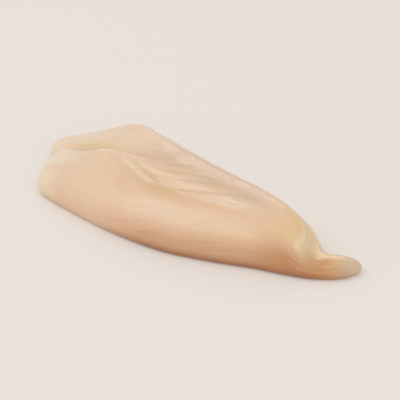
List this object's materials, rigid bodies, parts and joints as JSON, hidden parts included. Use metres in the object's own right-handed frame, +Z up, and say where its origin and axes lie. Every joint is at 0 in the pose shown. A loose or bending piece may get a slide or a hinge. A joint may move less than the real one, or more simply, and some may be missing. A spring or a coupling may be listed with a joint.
{
  "type": "raw chicken tenderloin",
  "caption": "Raw chicken tenderloin lying flat: a tapered, domed strip of breast meat with a notched broad end, a lapped fold and a pale tendon tip.",
  "frame": {"origin": "centre of the piece's footprint, on the surface that it lies on", "axes": "+X along the piece from its broad end to its tendon tip, +Y across it towards the crest, +Z up"},
  "size_m": [0.1524, 0.0654, 0.0192],
  "materials": {
    "raw_meat": "moist, faintly translucent raw poultry meat, pale pink-beige with a soft sheen"
  },
  "bodies": {
    "root": {"tenderloin": "raw_meat"}
  },
  "joints": []
}
